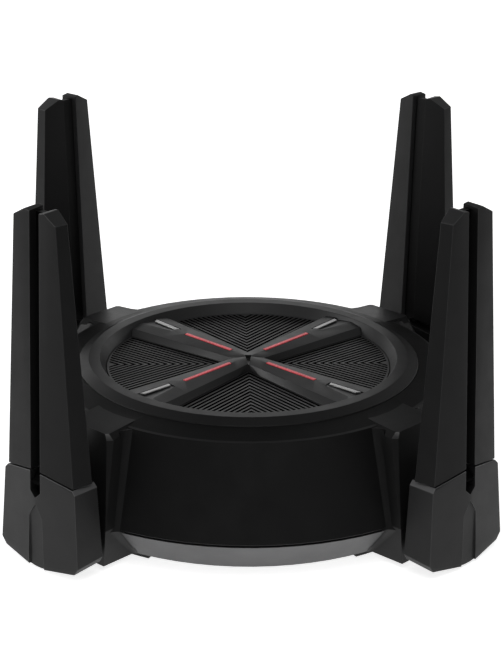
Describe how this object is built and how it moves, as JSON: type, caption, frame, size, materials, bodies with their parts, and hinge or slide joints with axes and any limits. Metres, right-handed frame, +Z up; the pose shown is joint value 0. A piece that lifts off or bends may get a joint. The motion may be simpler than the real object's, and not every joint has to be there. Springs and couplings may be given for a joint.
{
  "type": "wireless router",
  "caption": "Desktop wireless router: a round drum with a cross-shaped fan grille on top, short arms that carry fold-out twin-blade antennas, and a bay of sockets at the back.",
  "frame": {"origin": "on the drum's vertical axis, at the level the rubber feet stand on", "axes": "+Z up along the drum's axis, front towards -Y (the notch where the spokes cross points that way), sockets at the back on +Y"},
  "size_m": [0.2412, 0.2412, 0.177],
  "materials": {
    "black_plastic": "fine-grained matt black moulded plastic",
    "satin_plastic": "satin dark grey moulded plastic",
    "grey_plastic": "matt mid-dark grey moulded plastic",
    "rubber": "matt black rubber",
    "red_lens": "translucent red light guide, softly lit",
    "silver": "silver-painted plastic",
    "steel": "plated steel",
    "circuit_board": "green solder-masked laminate",
    "aluminium": "plain aluminium"
  },
  "bodies": {
    "base": {"housing": "black_plastic", "rim_ring": "satin_plastic", "spoke_cross": "satin_plastic", "bottom_cover": "grey_plastic", "grille_right": "satin_plastic", "grille_back": "satin_plastic", "grille_left": "satin_plastic", "grille_front": "satin_plastic", "light_strip_back_right": "red_lens", "light_strip_back_left": "red_lens", "light_strip_front_left": "red_lens", "light_strip_front_right": "red_lens", "accent_insert_back_right": "silver", "accent_insert_back_left": "silver", "accent_insert_front_left": "silver", "accent_insert_front_right": "silver", "foot_back_right": "rubber", "foot_back_left": "rubber", "foot_front_left": "rubber", "foot_front_right": "rubber", "knuckle_back_right": "black_plastic", "knuckle_back_left": "black_plastic", "knuckle_front_left": "black_plastic", "knuckle_front_right": "black_plastic", "hinge_pin_back_right": "steel", "hinge_pin_back_left": "steel", "hinge_pin_front_left": "steel", "hinge_pin_front_right": "steel", "case_screw_back_right": "steel", "case_screw_back_left": "steel", "case_screw_front_left": "steel", "case_screw_front_right": "steel", "main_board": "circuit_board", "heat_sink": "aluminium", "shield_can": "aluminium", "fan_frame": "black_plastic", "light_board": "circuit_board", "port_panel": "black_plastic", "ethernet_jack_1": "grey_plastic", "ethernet_jack_2": "grey_plastic", "ethernet_jack_3": "grey_plastic", "ethernet_jack_4": "grey_plastic", "ethernet_jack_5": "grey_plastic", "usb_socket": "steel", "power_inlet": "black_plastic"},
    "antenna_back_right": {"antenna_spine_back_right": "black_plastic", "blade_left_back_right": "black_plastic", "blade_right_back_right": "black_plastic"},
    "antenna_back_left": {"antenna_spine_back_left": "black_plastic", "blade_left_back_left": "black_plastic", "blade_right_back_left": "black_plastic"},
    "antenna_front_left": {"antenna_spine_front_left": "black_plastic", "blade_left_front_left": "black_plastic", "blade_right_front_left": "black_plastic"},
    "antenna_front_right": {"antenna_spine_front_right": "black_plastic", "blade_left_front_right": "black_plastic", "blade_right_front_right": "black_plastic"},
    "rotor": {"fan_rotor": "black_plastic"},
    "mesh_key": {"mesh_button": "satin_plastic"},
    "reset_key": {"reset_button": "satin_plastic"}
  },
  "joints": [
    {"name": "fold_back_right", "type": "hinge", "parent": "base", "child": "antenna_back_right", "pos_m": [0.10006, 0.10006, 0.045], "axis": [-0.7071, 0.7071, 0], "range_deg": [0, 90]},
    {"name": "fold_back_left", "type": "hinge", "parent": "base", "child": "antenna_back_left", "pos_m": [-0.10006, 0.10006, 0.045], "axis": [-0.7071, -0.7071, 0], "range_deg": [0, 90]},
    {"name": "fold_front_left", "type": "hinge", "parent": "base", "child": "antenna_front_left", "pos_m": [-0.10006, -0.10006, 0.045], "axis": [0.7071, -0.7071, 0], "range_deg": [0, 90]},
    {"name": "fold_front_right", "type": "hinge", "parent": "base", "child": "antenna_front_right", "pos_m": [0.10006, -0.10006, 0.045], "axis": [0.7071, 0.7071, 0], "range_deg": [0, 90]},
    {"name": "fan_spin", "type": "hinge", "parent": "base", "child": "rotor", "pos_m": [0, 0, 0.05], "axis": [0, 0, 1], "continuous": true},
    {"name": "mesh_press", "type": "slide", "parent": "base", "child": "mesh_key", "axis": [0, -1, 0], "range_m": [0, 0.001], "stiffness_N_per_m": 1500},
    {"name": "reset_press", "type": "slide", "parent": "base", "child": "reset_key", "axis": [0, -1, 0], "range_m": [0, 0.0008], "stiffness_N_per_m": 1500}
  ]
}
